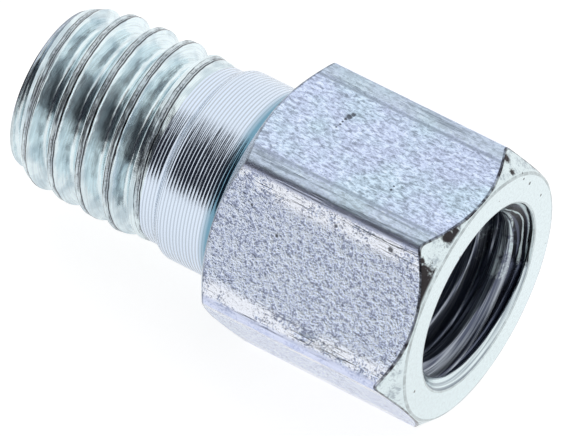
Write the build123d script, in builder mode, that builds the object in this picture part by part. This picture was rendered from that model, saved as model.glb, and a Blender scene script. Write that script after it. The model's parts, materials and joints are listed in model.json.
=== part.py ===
from build123d import *
import math
import os

# Grease nipple extension: one body turned from drawn hexagon bar, with a rolled male thread.
# All sizes in millimetres. The part lies on one flat of the hexagon, as it rests on a bench.
# Its axis is the X axis: the hexagon and the tapped hole are on +X, the neck and the male
# thread on -X. The origin is on the axis, in the plane of the shoulder, which seats against
# the machine.

# Hexagon bar
across_flats = 8.0
hex_length = 7.0
bar_edge_radius = 0.3           # rounded edges of the drawn bar
end_face_diameter = 7.9         # flat left on the female end inside its corner chamfer
end_chamfer_angle = 45.0        # from the end face
shoulder_face_diameter = 8.0    # flat left on the shoulder inside its corner chamfer
shoulder_chamfer_angle = 35.0   # from the shoulder

# Neck between the shoulder and the thread
neck_diameter = 6.12
neck_length = 2.1
neck_fillet = 0.2               # in the corner with the shoulder
neck_step = 0.35                # length of the rounded step down to the rolling blank

# Male thread, taper M6 x 1, rolled on a smaller blank
blank_diameter = 5.68
crest_diameter = 6.0            # over the last full crest, where the thread is largest
thread_taper = 1 / 16           # on diameter, smaller towards the tip
thread_length = 5.35            # from the neck's step to the tip
thread_pitch = 1.0
thread_depth = 0.45
root_radius = 0.22
flank_angle = 60.0              # between the two flanks
unrolled_length = 0.5           # blank left plain beside the neck's step
runout_length = 1.1             # crests rise from the blank to full height over this length
tip_chamfer = 0.36              # on radius
tip_chamfer_length = 0.9
groove_lead = 1.0               # the groove starts this far outside the tip
turn_gap = 0.04                 # left between the mouths of neighbouring turns, above the crests

# Female side: a hole tapped M6 x 1 with the same pitch, and the grease passage
core_diameter = 5.0
tapped_depth = 5.6
tapped_root_diameter = 5.96     # just inside the countersink's rim
tapped_root_width = 0.125       # flat at the bottom of the groove
tap_clearance = 1.8             # drilled hole that the tap can't reach, from the bottom to the groove's start
tap_start_gap = 0.05            # the groove starts this far inside the hole's wall, on radius
facing_stock = 2.0              # bar beyond the end face, turned away once the hole is tapped
countersink_diameter = 6.0
countersink_angle = 90.0        # between its sides
drill_point_angle = 118.0
passage_diameter = 2.5

# Worked out from the values above
corner_radius = across_flats / 2 / math.cos(math.radians(30))
end_chamfer_depth = (
    (corner_radius - end_face_diameter / 2) * math.tan(math.radians(end_chamfer_angle))
)
shoulder_chamfer_depth = (
    (corner_radius - shoulder_face_diameter / 2) * math.tan(math.radians(shoulder_chamfer_angle))
)
step_end = -neck_length - neck_step
tip_end = step_end - thread_length
runout_end = step_end - unrolled_length
full_thread_end = runout_end - runout_length
tip_diameter = crest_diameter - thread_taper * (full_thread_end - tip_end)
chamfered_end_radius = (tip_diameter + tip_chamfer_length * thread_taper) / 2
taper_angle = math.degrees(math.atan(thread_taper / 2))
groove_start = tip_end - groove_lead
groove_turns = round((full_thread_end - groove_start) / thread_pitch)
groove_end = groove_start + groove_turns * thread_pitch
start_root_radius = crest_diameter / 2 - thread_depth - (
    (full_thread_end - groove_start) * thread_taper / 2
)
end_root_radius = start_root_radius + (groove_end - groove_start) * thread_taper / 2
fade_angle = math.degrees(
    math.atan((blank_diameter / 2 - end_root_radius) / (runout_end - groove_end))
)
taper_diameter = crest_diameter + thread_taper * (runout_end - full_thread_end)
root_x = root_radius * math.cos(math.radians(flank_angle / 2))
root_y = root_radius * (1 - math.sin(math.radians(flank_angle / 2)))
mouth_x = (thread_pitch - turn_gap) / 2
mouth_y = root_y + (mouth_x - root_x) / math.tan(math.radians(flank_angle / 2))
countersink_tip_depth = countersink_diameter / 2 / math.tan(math.radians(countersink_angle / 2))
hole_bottom = hex_length - tapped_depth
drill_point_depth = (
    (core_diameter - passage_diameter) / 2 / math.tan(math.radians(drill_point_angle / 2))
)
# the tap's groove deepens over its first turn and is then cut to beyond the end face
tap_start = hole_bottom + tap_clearance
tap_full = tap_start + thread_pitch
tap_end = hex_length + facing_stock / 2
tap_start_radius = core_diameter / 2 - tap_start_gap
tap_angle = math.degrees(math.atan((tapped_root_diameter / 2 - tap_start_radius) / thread_pitch))
tap_mouth_y = -(tapped_root_diameter / 2 - tap_start_radius)
tap_mouth_x = tapped_root_width / 2 - tap_mouth_y * math.tan(math.radians(flank_angle / 2))


def groove_helix(start, end, start_radius, widening_angle):
    """One stretch of the groove's root line, a helix on a cone around the X axis."""
    Helix(
        pitch=thread_pitch / math.cos(math.radians(widening_angle)),
        height=end - start,
        radius=start_radius,
        center=(start, 0, 0),
        direction=(1, 0, 0),
        cone_angle=widening_angle,
    )


with BuildPart() as body:
    # the drawn bar, lying on one flat
    with BuildSketch(Plane.YZ):
        RegularPolygon(radius=across_flats / 2, side_count=6, major_radius=False)
        fillet(vertices(), radius=bar_edge_radius)
    extrude(amount=hex_length + facing_stock)
    # the hole at its core diameter, and the thread tapped in it
    with BuildSketch(Plane.XZ):
        with BuildLine():
            Polyline(
                (hex_length + facing_stock, 0),
                (hex_length + facing_stock, core_diameter / 2),
                (hole_bottom, core_diameter / 2),
                (hole_bottom - drill_point_depth, passage_diameter / 2),
                (hole_bottom - drill_point_depth, 0),
                close=True,
            )
        make_face()
    revolve(axis=Axis.X, mode=Mode.SUBTRACT)
    with BuildLine() as tap_path:
        groove_helix(tap_start, tap_full, tap_start_radius, tap_angle)
        groove_helix(tap_full, tap_end, tapped_root_diameter / 2, 0)
    tap_line = tap_path.wires()[0]
    tap_outward = Vector(0, (tap_line @ 0).Y, (tap_line @ 0).Z).normalized()
    tap_plane = Plane(
        origin=tap_line @ 0,
        x_dir=tap_outward.cross(tap_line % 0),
        z_dir=tap_line % 0,
    )
    with BuildSketch(tap_plane) as tap_section:
        with BuildLine():
            Polyline(
                (-tapped_root_width / 2, 0),
                (tapped_root_width / 2, 0),
                (tap_mouth_x, tap_mouth_y),
                (-tap_mouth_x, tap_mouth_y),
                close=True,
            )
        make_face()
    sweep(
        sections=tap_section.sketch,
        path=tap_line,
        is_frenet=True,
        transition=Transition.TRANSFORMED,
        mode=Mode.SUBTRACT,
    )
    # both ends of the hexagon are turned back at the corners, and the tapped end is faced
    with BuildSketch(Plane.XZ):
        with BuildLine():
            Polyline(
                (0, 0),
                (0, shoulder_face_diameter / 2),
                (shoulder_chamfer_depth, corner_radius),
                (hex_length - end_chamfer_depth, corner_radius),
                (hex_length, end_face_diameter / 2),
                (hex_length, 0),
                close=True,
            )
        make_face()
    revolve(axis=Axis.X, mode=Mode.INTERSECT)
    # the neck, its rounded step, and a taper over the thread's crests
    with BuildSketch(Plane.XZ):
        with BuildLine():
            RadiusArc(
                (0, neck_diameter / 2 + neck_fillet),
                (-neck_fillet, neck_diameter / 2),
                -neck_fillet,
            )
            Line((-neck_fillet, neck_diameter / 2), (-neck_length, neck_diameter / 2))
            TangentArc(
                (-neck_length, neck_diameter / 2),
                (step_end, blank_diameter / 2),
                tangent=(-1, 0),
            )
            Polyline(
                (step_end, blank_diameter / 2),
                (step_end, 0),
                (0, 0),
                (0, neck_diameter / 2 + neck_fillet),
            )
        make_face()
    revolve(axis=Axis.X)
    with BuildSketch(Plane.XZ):
        with BuildLine():
            Polyline(
                (step_end, 0),
                (step_end, blank_diameter / 2),
                (runout_end, blank_diameter / 2),
                (runout_end, taper_diameter / 2),
                (tip_end, tip_diameter / 2),
                (tip_end, 0),
                close=True,
            )
        make_face()
    revolve(axis=Axis.X)
    # the thread groove, at full depth and then rising out of the taper
    with BuildLine() as groove_path:
        groove_helix(groove_start, groove_end, start_root_radius, taper_angle)
        groove_helix(groove_end, runout_end, end_root_radius, fade_angle)
    root_line = groove_path.wires()[0]
    outward = Vector(0, (root_line @ 0).Y, (root_line @ 0).Z).normalized()
    start_plane = Plane(
        origin=root_line @ 0,
        x_dir=outward.cross(root_line % 0),
        z_dir=root_line % 0,
    )
    with BuildSketch(start_plane) as groove_section:
        with BuildLine():
            ThreePointArc((-root_x, root_y), (0, 0), (root_x, root_y))
            Polyline((root_x, root_y), (mouth_x, mouth_y), (-mouth_x, mouth_y), (-root_x, root_y))
        make_face()
    sweep(
        sections=groove_section.sketch,
        path=root_line,
        is_frenet=True,
        transition=Transition.TRANSFORMED,
        mode=Mode.SUBTRACT,
    )
    # beside the neck the crests were never rolled to full height, and the tip is chamfered
    with BuildSketch(Plane.XZ):
        with BuildLine():
            Polyline(
                (full_thread_end, crest_diameter / 2),
                (runout_end, blank_diameter / 2),
                (runout_end, crest_diameter),
                (full_thread_end, crest_diameter),
                close=True,
            )
        make_face()
        with BuildLine():
            Polyline(
                (tip_end + tip_chamfer_length, chamfered_end_radius),
                (tip_end, tip_diameter / 2 - tip_chamfer),
                (tip_end, crest_diameter),
                (tip_end + tip_chamfer_length, crest_diameter),
                close=True,
            )
        make_face()
    revolve(axis=Axis.X, mode=Mode.SUBTRACT)
    # the countersink and the grease passage
    with BuildSketch(Plane.XZ):
        with BuildLine():
            Polyline(
                (hex_length, 0),
                (hex_length, countersink_diameter / 2),
                (hex_length - countersink_tip_depth, 0),
                close=True,
            )
        make_face()
    revolve(axis=Axis.X, mode=Mode.SUBTRACT)
    with BuildSketch(Plane.YZ.offset(tip_end)):
        Circle(passage_diameter / 2)
    extrude(amount=hole_bottom - tip_end, mode=Mode.SUBTRACT)

body.part.label = "body"
os.makedirs("parts", exist_ok=True)
export_step(body.part, "parts/body.step")
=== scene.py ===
import json
import math

import bpy
import numpy as np
from mathutils import Matrix, Vector


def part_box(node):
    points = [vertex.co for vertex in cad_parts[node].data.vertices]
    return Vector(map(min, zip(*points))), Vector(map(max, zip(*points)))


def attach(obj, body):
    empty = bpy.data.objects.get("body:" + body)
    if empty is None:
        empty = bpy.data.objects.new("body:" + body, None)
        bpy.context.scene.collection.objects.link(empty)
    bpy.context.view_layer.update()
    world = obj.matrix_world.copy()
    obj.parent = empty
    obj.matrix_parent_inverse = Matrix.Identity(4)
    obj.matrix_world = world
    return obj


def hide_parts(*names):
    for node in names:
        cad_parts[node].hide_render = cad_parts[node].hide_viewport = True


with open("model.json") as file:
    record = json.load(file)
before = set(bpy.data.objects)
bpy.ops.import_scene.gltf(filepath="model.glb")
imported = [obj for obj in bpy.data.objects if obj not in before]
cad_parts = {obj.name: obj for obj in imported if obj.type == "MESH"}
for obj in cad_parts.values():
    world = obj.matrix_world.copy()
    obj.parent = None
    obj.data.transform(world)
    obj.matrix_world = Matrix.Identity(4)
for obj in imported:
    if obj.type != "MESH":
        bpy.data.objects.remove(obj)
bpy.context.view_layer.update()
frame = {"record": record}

bl_info = {
    "name": "Grease Nipple Extension",
    "version": (1, 0, 0),
    "blender": (4, 5, 0),
    "location": "View3D > Sidebar > Fitting",
    "description": "Turns, rolls, taps and plates a hexagon grease nipple extension",
    "category": "Add Mesh",
}

# The outer sizes come from the solid. The threads, the broken edges and the finish are made here.
# Lengths are metres. The axis is X: the male thread is on -X and the tapped hole on +X.
LOW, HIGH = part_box("body")
MOUNTS = {mount["name"]: mount for mount in frame["record"]["mounts"]}
MM = 0.001
TIP_X = LOW.x
END_X = HIGH.x
ACROSS_FLATS = HIGH.z - LOW.z
CORNER_RADIUS = HIGH.y
NECK_RADIUS = MOUNTS["neck"]["dims"]["r_mm"] * MM
CORE_RADIUS = MOUNTS["female_thread"]["dims"]["r_mm"] * MM

# The kinds of surface, which are also the order of the material slots
DRAWN, TURNED, FACED, ROLLED, TAPPED, DRILLED, SUNK = range(7)

# Points of the body's grid round each edge and along each flat of the bar, and its rows along the step,
# round the neck's fillet and round a broken edge
EDGE_POINTS = 7
FLAT_POINTS = 35
STEP_ROWS = 8
FILLET_ROWS = 7
BREAK_ROWS = 4

# A row is held this many times the edge break from each corner, to keep the faces beside it flat.
# No broken edge or held row takes more than these shares of the way to the next corner.
HELD_OUT = 1.5
BREAK_LIMIT = 0.4
HELD_LIMIT = 0.45
NO_LENGTH = 1e-9

# Single marks on the surfaces, each as x, y, z and its radius, in mm
BAR_MARKS = (
    # an inclusion rolled into the top flat
    (2.02, 0.86, 4.0, 0.1), (1.97, 0.74, 4.0, 0.12), (1.93, 0.6, 4.0, 0.06), (1.91, 0.48, 4.0, 0.045),
    (1.90, 0.35, 4.0, 0.045), (1.87, 0.2, 4.0, 0.04),
    # pits in the top flat, and others beside an edge of the bar
    (4.51, -0.96, 4.0, 0.06), (4.50, -0.80, 4.0, 0.04),
    (2.06, -3.16, 2.53, 0.07), (3.71, -2.61, 3.49, 0.07), (5.55, -2.56, 3.57, 0.09),
    (1.02, -2.90, 2.98, 0.06),
)
# patches on the corner chamfers: old brown grease, and painted dark reflection where the chamfer mirrors the
# dark room
CHAMFER_GRIME_AND_SHADE = (
    (6.56, -2.50, 3.66, 0.14), (6.65, -2.70, 3.36, 0.44), (6.74, -2.84, 3.09, 0.6),
    (6.83, -3.02, 2.80, 0.72), (6.87, -3.18, 2.54, 0.58), (6.90, -3.34, 2.26, 0.38),
    (6.94, -3.50, 1.95, 0.26), (6.80, -1.46, 3.90, 0.30), (6.87, -1.20, 3.90, 0.2),
    (6.60, 1.98, 3.95, 0.2), (6.88, 1.80, 3.65, 0.14),
)
FACE_PITS = (
    (7.0, -3.41, -0.87, 0.05), (7.0, 2.59, 2.55, 0.06), (7.0, 2.23, 3.32, 0.06), (7.0, 2.25, 3.05, 0.05),
    (7.0, 3.24, 1.43, 0.05), (7.0, 2.87, 0.33, 0.05), (7.0, -1.14, 2.85, 0.05),
)
# painted dark reflection over one side of the countersink's mouth, where it mirrors the dark bore
PAINTED_MOUTH_SHADE = (
    (6.75, 2.72, 1.25, 0.75), (6.75, 2.85, 0.55, 0.7), (6.7, 2.3, 1.8, 0.5), (6.75, 2.85, -0.15, 0.65),
    (6.75, 2.75, -0.8, 0.6),
)
DRAGGED_ZINC = (
    (6.45, 2.45, 0.9, 0.5), (6.25, 2.6, 0.3, 0.6), (6.1, 2.55, -0.5, 0.6), (6.05, 2.3, -1.3, 0.5),
)

# The paper under the part glows, so that it is white where it is seen and where it is mirrored
PAPER_HALF_WIDTH = 0.6
PAPER_GAP = 0.01 * MM
SEEN_GLOW = 0.86
MIRRORED_GLOW = 0.78

# The camera's place in mm, and the directions of its back and of its right side
CAMERA_PLACE = (89.63, -136.413, 183.143)
CAMERA_BACK = (0.3639, -0.5547, 0.7482)
CAMERA_RIGHT = (0.83276, 0.55361, 0.00543)
SENSOR_WIDTH = 36.0


def linear(hex_colour):
    """An sRGB colour such as "#E6F2F3", as linear red, green and blue."""
    channels = [int(hex_colour[i:i + 2], 16) / 255 for i in (1, 3, 5)]
    return tuple(c / 12.92 if c <= 0.04045 else ((c + 0.055) / 1.055) ** 2.4 for c in channels)


def length(name, description, default_mm):
    """A length property, with its default in millimetres."""
    return bpy.props.FloatProperty(
        name=name, description=description, default=default_mm * MM, min=0.0, precision=5, unit="LENGTH",
    )


def colour(name, description, hex_colour):
    """A colour property."""
    return bpy.props.FloatVectorProperty(
        name=name, description=description, default=linear(hex_colour), min=0.0, max=1.0, subtype="COLOR",
    )


class BodySizes(bpy.types.PropertyGroup):
    """Sizes of the turned body before its threads are made."""

    bar_edge: length("Bar edge", "Radius of the drawn bar's rounded edges", 0.3)
    end_face: length("End face", "Radius of the flat end inside its chamfer", 3.95)
    end_chamfer: bpy.props.FloatProperty(
        name="End chamfer", description="Angle of the end chamfer from the end face",
        default=math.radians(45), subtype="ANGLE",
    )
    shoulder_face: length("Shoulder face", "Radius of the flat shoulder inside its chamfer", 4.0)
    shoulder_chamfer: bpy.props.FloatProperty(
        name="Shoulder chamfer", description="Angle of the shoulder chamfer from the shoulder",
        default=math.radians(35), subtype="ANGLE",
    )
    neck_length: length("Neck length", "From the shoulder to the rounded step", 2.1)
    neck_fillet: length("Neck fillet", "Radius in the corner with the shoulder", 0.2)
    neck_step: length("Neck step", "Length of the rounded step down to the rolling blank", 0.35)
    blank: length("Blank", "Radius of the blank beside the neck", 2.84)
    plain_blank: length("Plain blank", "Length of blank left without a thread", 0.5)
    runout: length("Runout", "Length over which the crests rise", 1.1)
    crest: length("Crest", "Radius of the largest crest", 3.0)
    taper: bpy.props.FloatProperty(
        name="Taper", description="Rise of the crests' radius for each unit of length", default=1 / 32,
    )
    tip_chamfer: length("Tip chamfer", "Depth of the tip's chamfer on radius", 0.36)
    tip_chamfer_length: length("Tip chamfer length", "Length of the tip's chamfer", 0.9)
    passage: length("Passage", "Radius of the grease passage", 1.25)
    countersink: length("Countersink", "Radius of the countersink at the end face", 3.0)
    tapped_depth: length("Tapped depth", "Depth of the tapped hole", 5.6)
    drill_point: length("Drill point", "Length of the cone at the bottom of the tapped hole", 0.751)
    edge_break: length("Edge break", "Rounding that tumbling and plating leave on turned edges", 0.045)


class ThreadSizes(bpy.types.PropertyGroup):
    """Sizes of the two threads, which have the same pitch and hand."""

    pitch: length("Pitch", "Distance between crests", 1.0)
    depth: length("Depth", "Height of a full crest above the root", 0.5)
    root: length("Root", "Radius of the rounded root", 0.14)
    crest_round: length("Crest rounding", "Rounding at the sides of a rolled crest", 0.08)
    tapped_crest_round: length("Tapped crest rounding", "Rounding at the sides of a tapped crest", 0.032)
    first_groove: bpy.props.FloatProperty(
        name="First groove", description="From the first groove to the tip, in pitches", default=0.25,
    )
    full_turns: bpy.props.FloatProperty(
        name="Full turns", description="From the tip to where the groove starts to rise, in pitches",
        default=4.1,
    )
    fade: length("Fade", "How far past the last rolled crest the groove would come to the surface", 0.1)
    seam: length("Crest seam", "Depth of the fold that rolling leaves along a crest", 0.03)
    seam_width: length("Seam width", "Width of that fold", 0.07)
    ragged: length("Ragged crest", "Height of the broken skin along a rolled crest", 0.02)
    ragged_grain: length("Ragged grain", "Length of the flakes in that skin", 0.22)
    tapped_root: length("Tapped root", "Radius of the female thread's root", 3.02)
    tapped_root_flat: length("Tapped root flat", "Width of the flat in the female groove's root", 0.125)
    untapped: length("Untapped", "From the bottom of the hole to the start of the tap's groove", 1.8)
    tap_turn: bpy.props.FloatProperty(
        name="Tap turn", description="From the first tapped groove to the groove's start, in pitches",
        default=0.4,
    )
    tap_gap: length("Tap gap", "How far inside the hole's wall the tap's groove starts, on radius", 0.05)


class PlatingLook(bpy.types.PropertyGroup):
    """Colours of the plated and the bare steel."""

    drawn: colour("Drawn flats", "Zinc over the drawn bar's skin", "#D4DEFF")
    drawn_blue: colour("Drawn blue", "Bluer film in patches of the top flat", "#CCE3F4")
    drawn_white: colour("Drawn white", "The palest that the drawn skin becomes", "#E7F0FF")
    # this colour is also the painted grey shade in the countersink's streaks
    drawn_shade: colour("Drawn shade", "Grey zinc in the scores beside the edges", "#7E8A98")
    burnished: colour("Burnished", "White zinc where the die has burnished the skin", "#F2F6FF")
    edge_strip: colour("Edge strip", "Smooth zinc beside the top flat's edges", "#BCCBD4")
    turned: colour("Turned", "Zinc over the turned neck", "#DDE9F8")
    # painted teal shade in the corner between the neck and the shoulder
    corner_shade: colour("Blue film", "Thicker film in the corner of the shoulder", "#6F9DB4")
    faced: colour("Faced", "Zinc over the faced end", "#E3F0F3")
    rolled: colour("Rolled", "Zinc over the rolled thread", "#EAF7FB")
    rolled_shade: colour("Rolled shade", "Greyer film in patches of the rolled thread", "#9DB4C2")
    crest: colour("Crest skin", "Broken skin along the rolled crests", "#A2A8B0")
    # this colour is also painted shade: the hairlines beside the rolled crests and at the foot of a flank,
    # and the dark line along each broken edge
    fold: colour("Fold", "Dirt in the folds of the crests, in pits and along worn edges", "#3A3C46")
    # this colour is also the painted dark reflection on the corner chamfers
    grime_and_shade: colour("Grime", "Old grease and dirt in the corners of the faced end", "#2A2224")
    # this colour is painted shade, which darkens the tapped hole
    hole: colour("Hole", "Dark oiled steel where the plating is thin", "#5A6072")
    # this colour is painted shade: the dark reflection over one side of the countersink's mouth
    torn: colour("Torn", "Bare steel where the tap has torn the countersink", "#12141C")
    hole_mark: colour("Hole mark", "Bright marks that the tap leaves", "#C4CCD6")


class StudioSettings(bpy.types.PropertyGroup):
    """Floor, light and camera."""

    paper: colour("Paper", "Sheet under the part", "#A0A0A0")
    tent: colour("Tent", "Lit cloth all round the part", "#FFFFFF")
    room: colour("Room", "Dark room seen through the opening in the tent", "#21232D")
    focal_length: bpy.props.FloatProperty(
        name="Focal length", description="Of the lens, in mm", default=537.0, unit="CAMERA",
    )


def add(tree, kind, links=None, **settings):
    """Adds a node. A link's value is a socket, a node (its first output) or a plain value."""
    node = tree.nodes.new(kind)
    for name, value in settings.items():
        setattr(node, name, value)
    for name, value in (links or {}).items():
        if isinstance(value, bpy.types.Node):
            value = value.outputs[0]
        if isinstance(value, bpy.types.NodeSocket):
            tree.links.new(value, node.inputs[name])
        else:
            node.inputs[name].default_value = value
    return node


def from_axis(tree, y, z):
    """The distance from the X axis."""
    across = add(tree, "ShaderNodeCombineXYZ", {"Y": y, "Z": z})
    return add(tree, "ShaderNodeVectorMath", {0: across}, operation="LENGTH").outputs["Value"]


# ---------------------------------------------------------------- the turned body

def bar_outline(sizes):
    """Angles and radii of the hexagon bar's outline, corner by corner, anticlockwise seen from +X."""
    half_flat = ACROSS_FLATS / 2
    centre = (half_flat - sizes.bar_edge) / math.cos(math.radians(30))
    edge_start = centre + sizes.bar_edge * math.cos(math.radians(30))
    edge_angle = math.atan2(sizes.bar_edge * math.sin(math.radians(30)), edge_start)
    angles, radii = [], []
    for corner in range(6):
        for turn in np.radians(np.linspace(-30, 30, EDGE_POINTS)):
            y = centre + sizes.bar_edge * math.cos(turn)
            z = sizes.bar_edge * math.sin(turn)
            angles.append(math.radians(60 * corner) + math.atan2(z, y))
            radii.append(math.hypot(y, z))
        for angle in np.linspace(edge_angle, math.radians(60) - edge_angle, FLAT_POINTS)[1:-1]:
            angles.append(math.radians(60 * corner) + angle)
            radii.append(half_flat / math.cos(angle - math.radians(30)))
    return np.array(angles), np.minimum(radii, CORNER_RADIUS)


def body_profile(sizes, threads, bar):
    """The closed profile of the body, for each direction around the axis.

    Each entry is x, radius, edge break, rows to the next entry, the kind of surface that follows, and how
    much painted shade lies along the edge.
    """
    shoulder = np.minimum(sizes.shoulder_face, bar)
    shoulder_x = (bar - shoulder) * math.tan(sizes.shoulder_chamfer)
    end = np.minimum(sizes.end_face, bar)
    end_chamfer_x = END_X - (bar - end) * math.tan(sizes.end_chamfer)
    step_x = -sizes.neck_length - sizes.neck_step
    runout_x = step_x - sizes.plain_blank
    full_x = runout_x - sizes.runout
    tip_crest = sizes.crest - sizes.taper * (full_x - TIP_X)
    chamfer_x = TIP_X + sizes.tip_chamfer_length
    bottom_x = END_X - sizes.tapped_depth
    first_tapped_x = bottom_x + threads.untapped - threads.pitch / 2
    countersink_x = END_X - (sizes.countersink - CORE_RADIUS)
    soft = sizes.edge_break
    # the last number of each entry is how much painted shade lies along its edge
    profile = [
        (TIP_X, sizes.passage, soft, 2, TURNED, 0),
        (TIP_X, tip_crest - sizes.tip_chamfer, soft * 2, 30, ROLLED, 0.3),
        (chamfer_x, tip_crest + sizes.taper * sizes.tip_chamfer_length, 0, 98, ROLLED, 0),
        (full_x, sizes.crest, 0, 38, ROLLED, 0),
        (runout_x, sizes.blank, 0, 8, TURNED, 0),
    ]
    # the rounded step up to the neck leaves the neck in line with it
    drop = NECK_RADIUS - sizes.blank
    step_radius = (sizes.neck_step ** 2 + drop ** 2) / (2 * drop)
    sweep = math.asin(sizes.neck_step / step_radius)
    for turn in np.linspace(sweep, 0, STEP_ROWS):
        x = -sizes.neck_length - step_radius * math.sin(turn)
        profile.append((x, NECK_RADIUS - step_radius * (1 - math.cos(turn)), 0, 1, TURNED, 0))
    profile[-1] = (-sizes.neck_length, NECK_RADIUS, 0, 14, TURNED, 0)
    for turn in np.radians(np.linspace(0, 90, FILLET_ROWS)):
        x = -sizes.neck_fillet + sizes.neck_fillet * math.sin(turn)
        profile.append((x, NECK_RADIUS + sizes.neck_fillet * (1 - math.cos(turn)), 0, 1, TURNED, 0))
    profile += [
        (0.0, shoulder, soft, 2, TURNED, 0.3),
        (shoulder_x, bar, soft, 10, DRAWN, 0.6),
        (end_chamfer_x, bar, soft, 4, FACED, 1.0),
        (END_X, end, soft, 3, FACED, 0.45),
        (END_X, sizes.countersink, soft, 12, SUNK, 0.35),
        (countersink_x, CORE_RADIUS, 0, 86, TAPPED, 0),
        (first_tapped_x, CORE_RADIUS, 0, 3, DRILLED, 0),
        (bottom_x, CORE_RADIUS, 0, 3, DRILLED, 0),
        (bottom_x - sizes.drill_point, sizes.passage, 0, 6, DRILLED, 0),
    ]
    return profile


def shaded_rows(corner_rows, wear):
    """The share of painted edge shade on each row of a corner: all of it on the rounding, none on the rows
    beside it.
    """
    if len(corner_rows) == 1:
        return [0.0]
    return [0.0, *[wear] * (len(corner_rows) - 2), 0.0]


def round_off(before, corner, after, radius):
    """Rows that take a corner round in the smooth curve of a broken edge, with a row held on each side."""
    back, ahead = before - corner, after - corner
    back_length = np.linalg.norm(back, axis=1, keepdims=True)
    ahead_length = np.linalg.norm(ahead, axis=1, keepdims=True)
    back = back / np.maximum(back_length, NO_LENGTH)
    ahead = ahead / np.maximum(ahead_length, NO_LENGTH)
    start = corner + back * np.minimum(radius, back_length * BREAK_LIMIT)
    stop = corner + ahead * np.minimum(radius, ahead_length * BREAK_LIMIT)
    rows = [corner + back * np.minimum(radius * HELD_OUT, back_length * HELD_LIMIT)]
    for t in np.linspace(0, 1, BREAK_ROWS):
        rows.append((1 - t) ** 2 * start + 2 * t * (1 - t) * corner + t ** 2 * stop)
    rows.append(corner + ahead * np.minimum(radius * HELD_OUT, ahead_length * HELD_LIMIT))
    return rows


def profile_rows(profile, columns):
    """All rows of the body's grid, the kind of surface from each row to the next, and each row's painted edge
    shade.
    """
    points = [np.column_stack([np.broadcast_to(x, columns), np.broadcast_to(radius, columns)])
              for x, radius, *_ in profile]
    corners = []
    for i, (_, _, edge_break, *_) in enumerate(profile):
        following = points[(i + 1) % len(points)]
        corners.append(
            round_off(points[i - 1], points[i], following, edge_break) if edge_break else [points[i]]
        )
    rows, kinds, edge_shades = [], [], []
    for i, (_, _, _, steps, kind, wear) in enumerate(profile):
        previous_kind = profile[i - 1][4]
        middle = len(corners[i]) // 2
        rows += corners[i]
        edge_shades += shaded_rows(corners[i], wear)
        kinds += [kind if k >= middle else previous_kind for k in range(len(corners[i]))]
        start, stop = corners[i][-1], corners[(i + 1) % len(corners)][0]
        for step in range(1, steps):
            rows.append(start + (stop - start) * step / steps)
            kinds.append(kind)
            edge_shades.append(0.0)
    return rows, kinds, edge_shades


def build_body(sizes, threads):
    """A closed grid of quads around the axis, from the tip along the outside and back through the hole."""
    angles, bar = bar_outline(sizes)
    columns = len(angles)
    rows, kinds, edge_shades = profile_rows(body_profile(sizes, threads, bar), columns)
    x = np.array([row[:, 0] for row in rows])
    radius = np.array([row[:, 1] for row in rows])
    corners = np.stack([x, radius * np.cos(angles), radius * np.sin(angles)], axis=-1)
    index = np.arange(len(rows) * columns).reshape(len(rows), columns)
    below = np.roll(index, -1, axis=0)
    faces = np.stack([index, np.roll(index, -1, axis=1), np.roll(below, -1, axis=1), below], axis=-1)
    mesh = bpy.data.meshes.new("extension_body")
    mesh.from_pydata(corners.reshape(-1, 3).tolist(), [], faces.reshape(-1, 4).tolist())
    mesh.polygons.foreach_set("material_index", np.repeat(kinds, columns))
    mesh.polygons.foreach_set("use_smooth", np.ones(len(mesh.polygons), bool))
    for name, wanted in (("rolled", (ROLLED,)), ("tapped", (TAPPED, SUNK))):
        row_kinds = np.array([kind in wanted or kinds[i - 1] in wanted for i, kind in enumerate(kinds)])
        flags = mesh.attributes.new(name, "BOOLEAN", "POINT")
        flags.data.foreach_set("value", np.repeat(row_kinds, columns))
    # the painted shade of each broken edge, for the materials
    wear = mesh.attributes.new("wear", "FLOAT", "POINT")
    wear.data.foreach_set("value", np.repeat(edge_shades, columns))
    mesh.update()
    return mesh


def settle(piece):
    """Replaces a piece's mesh by the result of its modifiers and removes them."""
    bpy.context.view_layer.update()
    evaluated = piece.evaluated_get(bpy.context.evaluated_depsgraph_get())
    mesh = bpy.data.meshes.new_from_object(evaluated)
    piece.modifiers.clear()
    old = piece.data
    piece.data = mesh
    bpy.data.meshes.remove(old)
    mesh.name = piece.name


# ---------------------------------------------------------------- the threads

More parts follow.
